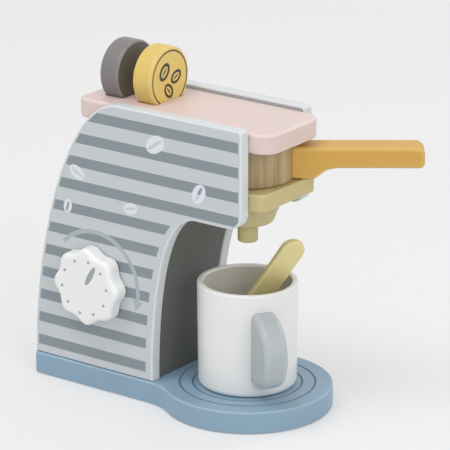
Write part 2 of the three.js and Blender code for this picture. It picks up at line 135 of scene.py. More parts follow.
def newGroup(name, draw, **inputs):
    # A shader group: its first values give the kinds of its inputs, and a function draws its outputs
    tree = bpy.data.node_groups.new(name, "ShaderNodeTree")
    kinds = {3: "NodeSocketVector", 4: "NodeSocketColor"}
    for key, value in inputs.items():
        kind = kinds[len(value)] if isinstance(value, tuple) else "NodeSocketFloat"
        tree.interface.new_socket(key, in_out="INPUT", socket_type=kind).default_value = value
    outputs = draw(tree, tree.nodes.new("NodeGroupInput").outputs)
    for key, socket in outputs.items():
        tree.interface.new_socket(key, in_out="OUTPUT", socket_type=socket.bl_idname)
    setInputs(tree, tree.nodes.new("NodeGroupOutput"), outputs)
    return tree


def useGroup(tree, group, inputs):
    return addNode(tree, "Group", inputs, node_tree=group).outputs


def rgb(red, green, blue):
    # Display values from 0 to 255 turned into the linear values that shaders take
    shares = [value / 255 for value in (red, green, blue)]
    return tuple(s / 12.92 if s <= 0.04045 else ((s + 0.055) / 1.055) ** 2.4 for s in shares) + (1.0,)


# Sprayed paint: a faint cloudiness, a fine orange peel, pale paint along eased edges that is partly thin
# paint and partly a painted highlight
spray = {"cloudScale": 38, "peelScale": 900, "patchScale": 160, "patchGain": 1.2, "patchLeast": 0.4,
         "glossSpread": 0.12, "relief": 0.00006}
paintLook = {"colour": rgb(230, 230, 230), "edgeColour": rgb(243, 243, 243), "edgeShare": 0.3,
             "cloudShare": 0.06, "roughness": 0.44, "streakScale": (30, 500, 500), "streakShare": 0.05}


def sprayedPaint(tree, given):
    place = objectPlace(tree)
    cloud = noise(tree, place, spray["cloudScale"], detail=3)
    streak = noise(tree, stretch(tree, place, given["streakScale"]), scale=1, detail=5, roughness=0.6)
    peel = noise(tree, place, spray["peelScale"], detail=2)
    patches = noise(tree, place, spray["patchScale"], detail=4)
    edgePatches = calc(tree, "MULTIPLY_ADD", patches, spray["patchGain"], spray["patchLeast"])
    # The pale edge colour on the marked rows is thin paint and also a painted highlight
    edge = addNode(tree, "Attribute", attribute_name="easedEdge").outputs["Fac"]
    thinPaintAndHighlight = calc(tree, "MULTIPLY", calc(tree, "MULTIPLY", edge, given["edgeShare"]), edgePatches, clamp=True)
    cloudy = wander(tree, cloud, given["cloudShare"])
    streaky = wander(tree, streak, given["streakShare"])
    tone = calcAll(tree, "ADD", [cloudy, streaky, 1.0])
    toned = addNode(tree, "VectorMath", {0: given["colour"], "Scale": tone}, operation="SCALE").outputs
    return {
        "colour": mixColour(tree, thinPaintAndHighlight, toned["Vector"], given["edgeColour"]),
        "roughness": calc(tree, "ADD", wander(tree, cloud, spray["glossSpread"]), given["roughness"]),
        "height": calc(tree, "MULTIPLY", calc(tree, "ADD", streak, peel), 0.5),
    }


# Turned or sawn timber: long fibres, broad bands and short dark pores
grain = {"bandEdges": (0.35, 0.65), "poreEdges": (0.36, 0.5), "bandShare": 0.6, "poreShare": 0.55,
         "poreRoughness": 0.15, "bump": 0.3, "relief": 0.0001}
timberLook = {"light": rgb(214, 186, 142), "dark": rgb(180, 148, 104), "fibreScale": (500, 12, 500),
              "bandScale": (90, 5, 90), "roughness": 0.5}


def timberGrain(tree, given):
    place = objectPlace(tree)
    fibre = noise(tree, stretch(tree, place, given["fibreScale"]), scale=1, detail=6, roughness=0.65)
    band = noise(tree, stretch(tree, place, given["bandScale"]), scale=1, detail=2, distortion=0.6)
    pore = ramp(tree, fibre, *grain["poreEdges"], 1.0, 0.0)
    banded = calc(tree, "MULTIPLY", ramp(tree, band, *grain["bandEdges"]), grain["bandShare"])
    share = calc(tree, "MULTIPLY_ADD", pore, grain["poreShare"], banded, clamp=True)
    return {
        "colour": mixColour(tree, share, given["light"], given["dark"]),
        "roughness": calc(tree, "MULTIPLY_ADD", pore, grain["poreRoughness"], given["roughness"]),
        "height": calc(tree, "SUBTRACT", 1.0, pore),
    }


# Marks in the plane of u and v, 1 inside and 0 outside, with soft rims: printed marks, and lines of painted
# shade in the base's grooves
ovalRim, lineRim = (0.95, 1.05), (0.8, 1.2)


def offCentre(tree, given):
    return [calc(tree, "SUBTRACT", given[way], given["centre" + way.upper()]) for way in "uv"]


# An oval turned about its centre
def printedOval(tree, given):
    offU, offV = offCentre(tree, given)
    cosine = calc(tree, "COSINE", given["turn"])
    sine = calc(tree, "SINE", given["turn"])
    along = calc(tree, "MULTIPLY_ADD", offU, cosine, calc(tree, "MULTIPLY", offV, sine))
    across = calc(tree, "SUBTRACT", calc(tree, "MULTIPLY", offV, cosine), calc(tree, "MULTIPLY", offU, sine))
    longShare = calc(tree, "DIVIDE", along, given["halfLength"])
    wideShare = calc(tree, "DIVIDE", across, given["halfWidth"])
    return {"mask": ramp(tree, distance(tree, longShare, wideShare), *ovalRim, 1.0, 0.0)}


# A ring line of a given width: a printed ring on a pod, and painted shade in the base's grooves
def ringLineMask(tree, given):
    away = calc(tree, "SUBTRACT", distance(tree, *offCentre(tree, given)), given["radius"])
    share = calc(tree, "DIVIDE", calc(tree, "ABSOLUTE", away), given["halfWidth"])
    return {"mask": ramp(tree, share, *lineRim, 1.0, 0.0)}


centres = {"u": 0.0, "v": 0.0, "centreU": 0.0, "centreV": 0.0}
paintGroup = newGroup("sprayedPaint", sprayedPaint, **paintLook)
timberGroup = newGroup("timberGrain", timberGrain, **timberLook)
ovalGroup = newGroup("printedOval", printedOval, **centres, halfLength=0.005, halfWidth=0.003, turn=0.0)
ringGroup = newGroup("ringLineMask", ringLineMask, **centres, radius=0.01, halfWidth=0.0003)


def maskOf(tree, group, u, v, **look):
    return useGroup(tree, group, {"u": u, "v": v, **look})["mask"]


def beanMasks(tree, u, v, beans, shares):
    # One mask for each share of the beans' length and width
    return [calcAll(tree, "MAXIMUM", [
        maskOf(tree, ovalGroup, u, v, centreU=centreU, centreV=centreV, turn=turn,
               halfLength=half * longShare, halfWidth=half * wideShare)
        for centreU, centreV, half, turn in beans]) for longShare, wideShare in shares]


def startMaterial(name):
    material = bpy.data.materials.new(name)
    material.use_nodes = True
    return material, material.node_tree, material.node_tree.nodes["Principled BSDF"]


# A coated surface from its group, with a print over its colour where a function draws one
def surfaceMaterial(name, group, look, drawPrint, bump, relief, coat):
    material, tree, shader = startMaterial(name)
    surface = useGroup(tree, group, look)
    bumped = addNode(tree, "Bump", {"Height": surface["height"], "Strength": bump, "Distance": relief})
    setInputs(tree, shader, {
        "Base Color": drawPrint(tree, surface["colour"]) if drawPrint else surface["colour"],
        "Roughness": surface["roughness"], "Normal": bumped.outputs["Normal"],
        "Coat Weight": coat[0], "Coat Roughness": coat[1]})
    return material


def paint(name, colour, edgeColour, drawPrint=None, bump=0.25, coat=(0.12, 0.3), **changes):
    look = {**paintLook, "colour": rgb(*colour), "edgeColour": rgb(*edgeColour), **changes}
    return surfaceMaterial(name, paintGroup, look, drawPrint, bump, spray["relief"], coat)


def timber(name, coat=(0.0, 0.35), **changes):
    look = {**timberLook, **changes}
    return surfaceMaterial(name, timberGroup, look, None, grain["bump"], grain["relief"], coat)


pinkPaint = paint("pinkPaint", (226, 205, 199), (244, 229, 224))
slatePaint = paint("slatePaint", (100, 100, 97), (128, 128, 125), roughness=0.6, coat=(0.0, 0.3))
olivePaint = paint("olivePaint", (201, 187, 132), (226, 215, 172), streakScale=(40, 600, 600),
                   streakShare=0.2)
funnelPaint = paint("funnelPaint", (194, 181, 130), (208, 196, 149), streakScale=(500, 500, 30),
                    streakShare=0.16)
spoonPaint = paint("spoonPaint", (229, 216, 154), (240, 229, 180), streakScale=(90, 90, 30), streakShare=0.1)
orangePaint = paint("orangePaint", (211, 164, 74), (236, 200, 124), streakScale=(60, 60, 500),
                    streakShare=0.12)
whitePaint = paint("whitePaint", (238, 238, 236), (246, 246, 245), roughness=0.36, coat=(0.2, 0.3),
                   streakShare=0.02)
# Painted shade: the inside of the cup is a darker white than the outside
cupInnerShadePaint = paint("cupInnerShadePaint", (214, 213, 206), (240, 240, 238), roughness=0.5, streakShare=0.02)
cupGreyPaint = paint("cupGreyPaint", (175, 183, 187), (199, 205, 209), streakShare=0.03)
podGreyPaint = paint("podGreyPaint", (127, 123, 122), (156, 152, 151), streakShare=0.08)
podDarkPaint = paint("podDarkPaint", (97, 92, 87), (118, 114, 110), streakShare=0.08)
podYellowPaint = paint("podYellowPaint", (226, 196, 108), (238, 213, 138))
panelPaint = paint("panelPaint", (216, 221, 223), (236, 239, 240), streakShare=0.02)
# Painted shade: the panels' inner faces are a darker grey than their outer faces
panelInnerShadePaint = paint("panelInnerShadePaint", (174, 177, 179), (210, 213, 215), streakShare=0.02)
holderTimber = timber("holderTimber", light=rgb(198, 176, 131), dark=rgb(146, 125, 89),
                      fibreScale=(330, 330, 8), bandScale=(95, 95, 4), roughness=0.42, coat=(0.15, 0.35))
bareTimber = timber("bareTimber")

# Zinc plating: soft spangle in the colour and in the roughness
zinc = {"spangleScale": 700, "dark": rgb(176, 178, 180), "light": rgb(214, 215, 216), "smoothest": 0.25,
        "glossSpread": 0.2}


def makeZinc():
    material, tree, shader = startMaterial("zincPlate")
    spangle = noise(tree, objectPlace(tree), zinc["spangleScale"], detail=3)
    setInputs(tree, shader, {
        "Base Color": mixColour(tree, spangle, zinc["dark"], zinc["light"]),
        "Roughness": calc(tree, "MULTIPLY_ADD", spangle, zinc["glossSpread"], zinc["smoothest"]),
        "Metallic": 1.0})
    return material


zincPlate = makeZinc()
print("paints and timbers made")


# Modelling helpers

def arcPoints(centreU, centreV, radius, fromDegrees, toDegrees, steps):
    points = []
    for step in range(steps + 1):
        angle = math.radians(fromDegrees + (toDegrees - fromDegrees) * step / steps)
        points.append((centreU + radius * math.cos(angle), centreV + radius * math.sin(angle)))
    return points


def curvePoints(start, startPull, endPull, end, steps):
    corners = [Vector((u, v, 0)) for u, v in (start, startPull, endPull, end)]
    return [(point.x, point.y) for point in interpolate_bezier(*corners, steps + 1)]


def tidyOutline(points):
    kept = []
    for point in points:
        if not kept or math.dist(point, kept[-1]) > hair:
            kept.append(point)
    if math.dist(kept[0], kept[-1]) <= hair:
        kept.pop()
    return kept


def rotation(degrees, axis):
    return Matrix.Rotation(math.radians(degrees), 4, axis)


def vertsOf(items):
    return [item for item in items if isinstance(item, bmesh.types.BMVert)]


def edgesOf(items):
    return [item for item in items if isinstance(item, bmesh.types.BMEdge)]


def newMesh():
    bm = bmesh.new()
    bm.verts.layers.float.new("easedEdge")
    return bm


# Marks vertices for the pale edge paint, which is thin paint and partly a painted highlight
def markEased(bm, test):
    layer = bm.verts.layers.float["easedEdge"]
    for vert in bm.verts:
        if test(vert):
            vert[layer] = 1.0


# Rounds edges, and marks the middle rows of the rounding for the pale edge paint there, which is partly a
# painted highlight
def easeEdges(bm, edges, radius, segments):
    made = bmesh.ops.bevel(bm, geom=edges, offset=radius, offset_type="OFFSET", segments=segments,
                           profile=0.5, affect="EDGES", material=-1, clamp_overlap=False)
    strip = set(made["faces"])
    markEased(bm, lambda vert: vert.link_faces and strip.issuperset(vert.link_faces))


# The flats of a board, in their order along an axis
def capsAlong(bm, axis):
    caps = [face for face in bm.faces if len(face.verts) > capCorners]
    return sorted(caps, key=lambda face: face.calc_center_median().dot(axis))


# A prism from its outline, flat or upright, between two levels
def prismMesh(outline, low, high, upright):
    bm = newMesh()
    corners = [bm.verts.new((u, low, v) if upright else (u, v, low)) for u, v in tidyOutline(outline)]
    made = bmesh.ops.extrude_face_region(bm, geom=[bm.faces.new(corners)])
    lift = (yAxis if upright else zAxis) * (high - low)
    bmesh.ops.translate(bm, vec=lift, verts=vertsOf(made["geom"]))
    bmesh.ops.recalc_face_normals(bm, faces=bm.faces)
    return bm


# A board: a prism with eased rims
def boardMesh(outline, low, high, upright, ease, segments=4):
    bm = prismMesh(outline, low, high, upright)
    easeEdges(bm, [edge for cap in capsAlong(bm, zAxis) for edge in cap.edges], ease, segments)
    return bm


# Turns a profile of radius and height about an axis through a centre
def spinProfile(bm, profile, steps, centre=origin, axis=zAxis, closed=False):
    outward = axis.zxy
    corners = [bm.verts.new(centre + outward * radius + axis * along)
               for radius, along in tidyOutline(profile)]
    edges = [bm.edges.new(pair) for pair in zip(corners, corners[1:])]
    if closed:
        edges.append(bm.edges.new((corners[-1], corners[0])))
    bmesh.ops.spin(bm, geom=corners + edges, cent=centre, axis=axis, angle=2 * math.pi, steps=steps,
                   use_merge=True)
    bmesh.ops.remove_doubles(bm, verts=bm.verts, dist=hair / 10)


def turnedMesh(profile, steps, **about):
    bm = newMesh()
    spinProfile(bm, profile, steps, **about)
    bmesh.ops.dissolve_degenerate(bm, edges=bm.edges, dist=hair / 100)
    bmesh.ops.recalc_face_normals(bm, faces=bm.faces)
    return bm


# Fills the flat between all open edges at a level
def fillLevel(bm, level, normal):
    rims = [edge for edge in bm.edges
            if edge.is_boundary and all(abs(vert.co.z - level) < hair for vert in edge.verts)]
    bmesh.ops.triangle_fill(bm, edges=rims, use_beauty=True, use_dissolve=False, normal=normal)


def sliceAt(bm, point, normal, **cleared):
    whole = [*bm.verts, *bm.edges, *bm.faces]
    return bmesh.ops.bisect_plane(bm, geom=whole, plane_co=point, plane_no=normal, **cleared)["geom_cut"]


# Cuts away what lies past a plane, and closes the cut
def trimPast(bm, point, normal):
    rim = edgesOf(sliceAt(bm, point, normal, clear_outer=True))
    if rim:
        bmesh.ops.holes_fill(bm, edges=rim)


def addObject(name, data):
    thing = bpy.data.objects.new(name, data)
    bpy.context.scene.collection.objects.link(thing)
    return thing


def addMesh(name, bm, materials):
    mesh = bpy.data.meshes.new(name)
    bm.to_mesh(mesh)
    bm.free()
    for material in materials:
        mesh.materials.append(material)
    return addObject(name, mesh)


# Puts a piece in the place of a node of the frame and on its body
def finishPiece(name, bm, node, body, slot, *materials, smoothDegrees=32):
    bmesh.ops.recalc_face_normals(bm, faces=bm.faces)
    for face in bm.faces:
        face.smooth = True
    piece = addMesh(name, bm, materials)
    piece.data.set_sharp_from_angle(angle=math.radians(smoothDegrees))
    weighted = piece.modifiers.new("flatFaces", "WEIGHTED_NORMAL")
    weighted.keep_sharp = True
    weighted.weight = 80
    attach(piece, body)
    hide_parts(node)


# Base: a straight rear part that flows in a wave into the round front, with two ring grooves and painted
# shade along them
base = {
    "halfWidth": 0.042, "waveRadius": 0.040, "cornerRadius": 0.004, "ease": 0.0016,
    "ringRadii": (0.0376, 0.0468), "grooveHalfWidth": 0.0007, "grooveDepth": 0.0007,
    "groove": ((-1, 0), (-0.5, 0.8), (0, 1), (0.5, 0.8), (1, 0)),  # shares of its half width and depth
    "recessRadius": 0.0045, "recessDepth": 0.0026, "recessMargin": 0.004,
    # Painted shade in the ring grooves: its colour, half width, share and the level it lies above
    "grooveShadeColour": rgb(84, 112, 134), "grooveShadeHalfWidth": 0.0008, "grooveShadeShare": 0.75, "grooveShadeLevel": 0.012,
}
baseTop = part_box("base_board")[1].z


def baseOutline(low, high):
    radius, wave, half, corner = high.x, base["waveRadius"], base["halfWidth"], base["cornerRadius"]
    waveX = -math.sqrt((radius + wave) ** 2 - (half + wave) ** 2)
    meet = math.degrees(math.atan2(half + wave, waveX))
    rear = low.x + corner
    return ([(rear, -half)]
            + arcPoints(waveX, -half - wave, wave, 90, 180 - meet, steps=16)
            + arcPoints(0, 0, radius, -meet, meet, steps=120)
            + arcPoints(waveX, half + wave, wave, meet - 180, -90, steps=16)
            + arcPoints(rear, half - corner, corner, 90, 180, steps=8)
            + arcPoints(rear, corner - half, corner, 180, 270, steps=8))


# Painted shade: darker blue lines along the ring grooves on the top
def baseGrooveShade(tree, colour):
    along, across, up = objectAxes(tree, "XYZ")
    rings = [maskOf(tree, ringGroup, along, across, radius=radius, halfWidth=base["grooveShadeHalfWidth"])
             for radius in base["ringRadii"]]
    onTop = calc(tree, "GREATER_THAN", up, base["grooveShadeLevel"])
    grooveShade = calcAll(tree, "MULTIPLY", [calcAll(tree, "MAXIMUM", rings), onTop, base["grooveShadeShare"]])
    return mixColour(tree, grooveShade, colour, base["grooveShadeColour"])


def makeBase():
    low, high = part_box("base_board")
    bm = boardMesh(baseOutline(low, high), low.z, high.z, False, base["ease"])
    foot, top = capsAlong(bm, zAxis)
    # The foot is parted past the screws, and only its rear part is filled round them
    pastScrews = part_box("base_screw_right_front")[1] + xAxis * base["recessMargin"]
    bmesh.ops.bisect_plane(bm, geom=[foot, *foot.edges, *foot.verts], plane_co=pastScrews, plane_no=xAxis)
    bmesh.ops.delete(bm, geom=[capsAlong(bm, xAxis)[0], top], context="FACES_ONLY")
    grooves = [(radius + base["grooveHalfWidth"] * wide, high.z - base["grooveDepth"] * deep)
               for radius in base["ringRadii"] for wide, deep in base["groove"]]
    spinProfile(bm, [(0, high.z)] + grooves, steps=96)
    fillLevel(bm, high.z, zAxis)
    for screw in [name for name in nodes if "screw" in name]:
        centre = middleOf(screw)
        place = Matrix.Translation((centre.x, centre.y, low.z))
        circle = bmesh.ops.create_circle(bm, radius=base["recessRadius"], segments=32, matrix=place)["verts"]
        rim = list(dict.fromkeys(edge for vert in circle for edge in vert.link_edges))
        deep = bmesh.ops.extrude_edge_only(bm, edges=rim)["geom"]
        rise = base["recessDepth"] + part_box(screw)[0].z
        bmesh.ops.translate(bm, vec=zAxis * rise, verts=vertsOf(deep))
        bmesh.ops.edgeloop_fill(bm, edges=edgesOf(deep))
    fillLevel(bm, low.z, -zAxis)
    bluePaint = paint("grooveShadedBluePaint", (140, 169, 190), (178, 201, 216), baseGrooveShade)
    finishPiece("painted_base", bm, "base_board", "machine", "blue_paint", bluePaint)


makeBase()
print("base made")


# Side panels: arch at the front, round crown at the rear, printed stripes on their outer faces
panel = {
    "crown": {"run": 0.075, "swell": 0.434, "pull": 0.58},
    "arch": {"run": 0.0375, "swell": 0.435, "pull": 0.8}, "archFoot": -0.0515, "headBottom": 0.140,
    "topCorner": 0.003, "bottomCorner": 0.011, "ease": 0.0013,
    "stripeTop": 0.2017, "stripePitch": 0.0172, "stripeWidth": 0.0074,
    "frontMargin": 0.0023, "archMargin": 0.0058, "crownMargin": 0.0026,
    "dark": rgb(136, 147, 152), "figure": rgb(226, 230, 238),
}
turnArrow = {"radius": 0.0372, "from": -0.36, "to": 2.4, "halfWidth": 0.0016, "headRun": 0.22,
             "headHalf": 0.0046, "colour": rgb(174, 184, 190)}
# Printed beans: place along x and z, half length, turn in radians
panelBeans = [(-0.0475, 0.1880, 0.0085, 0.6), (-0.1155, 0.1560, 0.0068, -0.5), (-0.0110, 0.1600, 0.0075, 1.1),
              (-0.0690, 0.1385, 0.0060, 0.2), (-0.1240, 0.1300, 0.0052, 1.3)]
panelBeanShares = [(1.0, 0.68), (0.8, 0.16)]  # length and width of the oval and of the slit in it


# A curve that rises from the base's top and levels out at its own top
def riseCurve(start, top, steps, run, swell, pull):
    return curvePoints((start, baseTop), (start, baseTop + (top - baseTop) * swell),
                       (start + run * (1 - pull), top), (start + run, top), steps)


def crownCurve(low, high, steps):
    return riseCurve(low.x, high.z, steps, **panel["crown"])


def archCurve(steps):
    return riseCurve(panel["archFoot"], panel["headBottom"], steps, **panel["arch"])


def panelOutline(low, high):
    arch = [(u, max(v, low.z)) for u, v in archCurve(steps=48)]
    crown = [(u, max(v, low.z)) for u, v in crownCurve(low, high, steps=64)]
    topCorner, bottomCorner = panel["topCorner"], panel["bottomCorner"]
    cornerZ = panel["headBottom"] + bottomCorner
    return (arch
            + arcPoints(high.x - bottomCorner, cornerZ, bottomCorner, -90, 0, steps=10)
            + arcPoints(high.x - topCorner, high.z - topCorner, topCorner, 0, 90, steps=6)
            + crown[::-1])


def edgeAt(tree, height, points, shift):
    # Where an edge that rises towards the front lies at each height, moved along by a shift
    (firstU, firstV), (lastU, lastV) = points[0], points[-1]
    lookup = addNode(tree, "FloatCurve", {"Value": ramp(tree, height, firstV, lastV)})
    curve = lookup.mapping.curves[0]
    for u, v in points[1:-1]:
        curve.points.new((v - firstV) / (lastV - firstV), (u - firstU) / (lastU - firstU))
    for point in curve.points:
        point.handle_type = "AUTO_CLAMPED"
    lookup.mapping.update()
    return calc(tree, "MULTIPLY_ADD", lookup.outputs[0], lastU - firstU, firstU + shift)


def arrowMask(tree, along, up):
    centre = middleOf("knob")
    offU = calc(tree, "SUBTRACT", along, centre.x)
    offV = calc(tree, "SUBTRACT", up, centre.z)
    angle = calc(tree, "ARCTAN2", offV, offU)
    tip, neck = turnArrow["from"], turnArrow["from"] + turnArrow["headRun"]
    head = ramp(tree, angle, tip, neck, 0.0, turnArrow["headHalf"])
    pastHead = calc(tree, "GREATER_THAN", angle, neck)
    half = calc(tree, "MULTIPLY_ADD", pastHead, turnArrow["halfWidth"] - turnArrow["headHalf"], head)
    away = calc(tree, "ABSOLUTE", calc(tree, "SUBTRACT", distance(tree, offU, offV), turnArrow["radius"]))
    onArc = calc(tree, "LESS_THAN", away, half)
    pastTip = calc(tree, "GREATER_THAN", angle, tip)
    beforeEnd = calc(tree, "LESS_THAN", angle, turnArrow["to"])
    return calcAll(tree, "MULTIPLY", [onArc, pastTip, beforeEnd])


def panelPrint(tree, colour, side):
    low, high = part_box("panel_" + side)
    along, up = objectAxes(tree, "XZ")
    fromTop = calc(tree, "DIVIDE", calc(tree, "SUBTRACT", panel["stripeTop"], up), panel["stripePitch"])
    belowTop = calc(tree, "GREATER_THAN", fromTop, 0.0)
    stripeShare = panel["stripeWidth"] / panel["stripePitch"]
    inStripe = calc(tree, "LESS_THAN", calc(tree, "FRACT", fromTop), stripeShare)
    inHead = calc(tree, "MULTIPLY", calc(tree, "GREATER_THAN", up, panel["headBottom"]),
                  calc(tree, "LESS_THAN", along, high.x - panel["frontMargin"]))
    archEdge = edgeAt(tree, up, archCurve(steps=12), -panel["archMargin"])
    inLeg = calc(tree, "LESS_THAN", along, archEdge)
    crownEdge = edgeAt(tree, up, crownCurve(low, high, steps=16), panel["crownMargin"])
    pastCrown = calc(tree, "GREATER_THAN", along, crownEdge)
    field = calc(tree, "MAXIMUM", inHead, inLeg)
    stripes = calcAll(tree, "MULTIPLY", [inStripe, belowTop, field, pastCrown])
    printed = mixColour(tree, stripes, colour, panel["dark"])
    way = 1 if side == "right" else -1
    beans = [(u, v, half, way * turn) for u, v, half, turn in panelBeans]
    body, slit = beanMasks(tree, along, up, beans, panelBeanShares)
    figures = calc(tree, "MULTIPLY", body, calc(tree, "SUBTRACT", 1.0, slit))
    printed = mixColour(tree, figures, printed, panel["figure"])
    if side == "right":
        printed = mixColour(tree, arrowMask(tree, along, up), printed, turnArrow["colour"])
    return printed


def makePanel(side):
    low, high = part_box("panel_" + side)
    bm = boardMesh(panelOutline(low, high), low.y, high.y, True, panel["ease"])
    outer, inner = capsAlong(bm, yAxis if side == "right" else -yAxis)
    outer.material_index = 1
    # The inner face takes the darker grey, a painted shade
    inner.material_index = 2
    printed = paint(side + "PanelPrint", (202, 207, 211), (230, 233, 235),
                    lambda tree, colour: panelPrint(tree, colour, side), cloudShare=0.04, streakShare=0.02)
    finishPiece("painted_panel_" + side, bm, "panel_" + side, "machine", "striped_paint",
                panelPaint, printed, panelInnerShadePaint)


for side in ("right", "left"):
    makePanel(side)
print("panels made")


# Bent sheets that follow the arch and the crown between the panels
sheets = {"thickness": 0.003, "recessInset": 0.001, "rearInset": 0.0015, "ease": 0.0003}


def bentOutline(points, inset, towards):
    near, far = [], []
    for index, (u, v) in enumerate(points):
        before = points[max(index - 1, 0)]
        after = points[min(index + 1, len(points) - 1)]
        run, rise = after[0] - before[0], after[1] - before[1]
        size = math.hypot(run, rise)
        normalU, normalV = -rise * towards / size, run * towards / size
        for row, depth in ((near, inset), (far, inset + sheets["thickness"])):
            row.append((u + normalU * depth, v + normalV * depth))
    return near + far[::-1]


def makeSheet(node, points, inset, towards):
    low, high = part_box(node)
    bm = boardMesh(bentOutline(points, inset, towards), low.y, high.y, True, sheets["ease"], segments=2)
    for axis in (zAxis, xAxis):
        trimPast(bm, high, axis)
        trimPast(bm, low, -axis)
    finishPiece("painted_" + node, bm, node, "machine", "slate_paint", slatePaint, smoothDegrees=40)


makeSheet("recess_sheet", archCurve(steps=48), sheets["recessInset"], towards=1)
makeSheet("rear_sheet", crownCurve(*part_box("panel_right"), steps=64), sheets["rearInset"], towards=-1)
print("sheets made")


# Top board with its pod slots, and the shelf under the head
boards = {
    "topFrontCorner": 0.013, "topRearCorner": 0.007, "topEase": 0.002,
    "shelfFrontCorner": 0.006, "shelfRearCorner": 0.003, "shelfEase": 0.0012,
    "slotGap": 0.0004,
}


def roundedBoard(low, high, rearCorner, frontCorner, ease):
    front, rear = high.x - frontCorner, low.x + rearCorner
    outline = (arcPoints(front, low.y + frontCorner, frontCorner, -90, 0, steps=16)
               + arcPoints(front, high.y - frontCorner, frontCorner, 0, 90, steps=16)
               + arcPoints(rear, high.y - rearCorner, rearCorner, 90, 180, steps=12)
               + arcPoints(rear, low.y + rearCorner, rearCorner, 180, 270, steps=12))
    return boardMesh(outline, low.z, high.z, False, ease)


# A round-bottomed slot for a pod's rim, open at the top of the board
def addSlot(bm, pod, top):
    low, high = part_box(pod)
    gap, centreZ = boards["slotGap"], (high.z + low.z) / 2
    radius = (high.z - low.z) / 2 + gap
    half = math.degrees(math.acos((centreZ - top) / radius))
    arc = arcPoints(0, centreZ, radius, -90 - half, half - 90, steps=24)
    near, far = [[bm.verts.new((x, y, z)) for y, z in arc] for x in (low.x - gap, high.x + gap)]
    for corners in (near, far, *zip(near, near[1:], far[1:], far)):
        bm.faces.new(corners)


def makeTopBoard():
    low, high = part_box("top_board")
    bm = roundedBoard(low, high, boards["topRearCorner"], boards["topFrontCorner"], boards["topEase"])
    bmesh.ops.delete(bm, geom=[capsAlong(bm, zAxis)[1]], context="FACES_ONLY")
    for pod in ("pod_grey", "pod_yellow"):
        addSlot(bm, pod, high.z)
    fillLevel(bm, high.z, zAxis)
    finishPiece("painted_top_board", bm, "top_board", "machine", "pink_paint", pinkPaint)


def makeShelf():
    low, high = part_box("brew_shelf")
    bm = roundedBoard(low, high, boards["shelfRearCorner"], boards["shelfFrontCorner"], boards["shelfEase"])
    finishPiece("painted_shelf", bm, "brew_shelf", "machine", "olive_paint", olivePaint)


makeTopBoard()
makeShelf()
print("boards made")


# Turned funnel with its spout
funnel = {"neckRadius": 0.018, "spoutRadius": 0.007, "spoutLength": 0.0145, "neckEase": 0.002,
          "spoutEase": 0.001, "lip": 0.0006, "wallDegrees": -18}


def makeFunnel():
    low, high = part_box("spout_funnel")
    mouth, neck, spout, lip = high.x, funnel["neckRadius"], funnel["spoutRadius"], funnel["lip"]
    neckZ = low.z + funnel["spoutLength"]
    spoutEase, neckEase = funnel["spoutEase"], funnel["neckEase"]
    profile = ([(0, low.z)]
               + arcPoints(spout - spoutEase, low.z + spoutEase, spoutEase, -90, 0, steps=4)
               + [(spout, neckZ)]
               + arcPoints(neck - neckEase, neckZ + neckEase, neckEase, -90, funnel["wallDegrees"], steps=5)
               + [(mouth - lip / 2, high.z - lip), (mouth - lip, high.z), (0, high.z)])
    bm = turnedMesh(profile, steps=96)
    finishPiece("turned_funnel", bm, "spout_funnel", "machine", "olive_paint", funnelPaint)


# Filter holder, bored for the pivot, with its handle
holder = {"ease": 0.001, "boreGap": 0.0003}
handle = {
    "width": 0.020, "rootInset": 0.006, "rootGap": 0.0003, "rootReach": 0.045, "rootSlices": 16,
    "armHeight": 0.0152, "slopeRun": 0.012, "topCorner": 0.006, "bottomCorner": 0.0035, "ease": 0.0028,
    "reach": 0.119, "restDegrees": 36,
}


def makeHolder():
    low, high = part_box("filter_holder")
    pivotLow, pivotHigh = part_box("pivot_dowel")
    bore = (pivotHigh.x - pivotLow.x) / 2 + holder["boreGap"]
    radius, ease = high.x, holder["ease"]
    profile = ([(bore, low.z)]
               + arcPoints(radius - ease, low.z + ease, ease, -90, 0, steps=4)
               + arcPoints(radius - ease, high.z - ease, ease, 0, 90, steps=4)
               + [(bore, high.z)])
    bm = turnedMesh(profile, steps=128, closed=True)
    finishPiece("turned_holder", bm, "filter_holder", "filter", "lacquered_wood", holderTimber)


# The handle's end follows the round of the holder, with a thin gap
def hollowRoot(bm, radius, half):
    for step in range(1, handle["rootSlices"]):
        sliceAt(bm, yAxis * half * (2 * step / handle["rootSlices"] - 1), yAxis)
    for vert in bm.verts:
        if vert.co.xy.length < radius:
            vert.co.x = math.sqrt(radius ** 2 - vert.co.y ** 2)


def makeHandle():
    low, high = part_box("filter_handle")
    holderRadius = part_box("filter_holder")[1].x
    start, root, reach = holderRadius - handle["rootInset"], handle["rootReach"], handle["reach"]
    run, bottomCorner, topCorner = handle["slopeRun"], handle["bottomCorner"], handle["topCorner"]
    armFoot = high.z - handle["armHeight"]
    bend = root + run / 2
    outline = ([(start, low.z)]
               + curvePoints((root, low.z), (bend, (low.z + armFoot) / 2), (bend, armFoot),
                             (bend + run, armFoot), steps=16)
               + arcPoints(reach - bottomCorner, armFoot + bottomCorner, bottomCorner, -90, 0, steps=8)
               + arcPoints(reach - topCorner, high.z - topCorner, topCorner, 0, 90, steps=10)
               + [(start, high.z)])
    half = handle["width"] / 2
    bm = boardMesh(outline, -half, half, True, handle["ease"], segments=5)
    hollowRoot(bm, holderRadius + handle["rootGap"], half)
    bmesh.ops.transform(bm, matrix=rotation(handle["restDegrees"], "Z"), verts=bm.verts)
    finishPiece("painted_handle", bm, "filter_handle", "filter", "orange_paint", orangePaint)


makeFunnel()
makeHolder()
makeHandle()
print("filter and funnel made")


# Knob: a plain lobed disc with a printed pointer and dots
knob = {"lobes": 8, "lobeDepth": 0.0015, "frontEase": 0.0036, "rearEase": 0.0015, "outlineSteps": 192,
        "dots": 10, "dotReach": 0.0195, "dotRadius": 0.0011, "pointerDegrees": 60, "pointerReach": 0.011,
        "pointerHalfLength": 0.0085, "pointerHalfWidth": 0.0021, "ink": rgb(158, 166, 172)}


